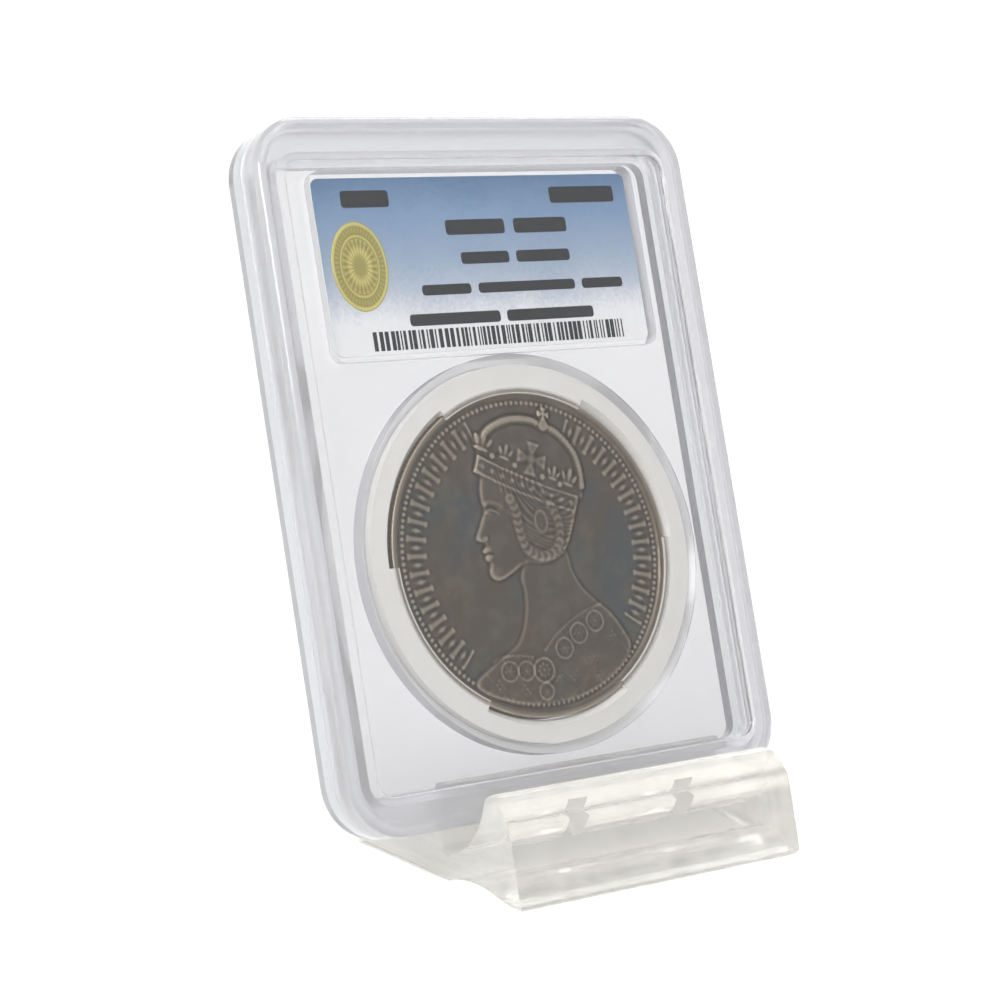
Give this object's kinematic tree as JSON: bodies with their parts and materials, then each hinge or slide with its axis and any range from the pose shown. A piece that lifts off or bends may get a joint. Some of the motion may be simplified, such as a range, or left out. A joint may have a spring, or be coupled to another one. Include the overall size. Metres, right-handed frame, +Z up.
{
  "type": "graded coin slab",
  "caption": "Sealed clear slab with a large toned silver coin in a pronged ring, a printed card above it, leaning in a clear moulded stand that it lifts out of.",
  "frame": {"origin": "on the surface that the stand rests on, at the middle of the outer box: on the slab's centre line and midway between the stand's front and back edges", "axes": "+X to the right of someone who faces the coin, +Y towards the back, +Z up"},
  "size_m": [0.0634, 0.041, 0.0908],
  "materials": {
    "stand_acrylic": "clear, polished, faint warm grey",
    "rear_styrene": "clear, polished, faint cool grey",
    "front_styrene": "clear, polished, faint cool grey",
    "ring_plastic": "soft translucent white",
    "coin_silver": "struck silver, toned brown-grey",
    "card_paper": "coated card, printed blue fading to white",
    "gold_foil": "embossed gold foil",
    "silver_foil": "embossed silver foil"
  },
  "bodies": {
    "stand": {"stand": "stand_acrylic"},
    "slab": {"rear_shell": "rear_styrene", "front_shell": "front_styrene", "insert_ring": "ring_plastic", "coin": "coin_silver", "label_card": "card_paper", "foil_seal": "gold_foil", "rear_seal": "silver_foil"}
  },
  "joints": [
    {"name": "slab_lift", "type": "slide", "parent": "stand", "child": "slab", "axis": [0, 0.274, 0.9617], "range_m": [0, 0.05]}
  ]
}
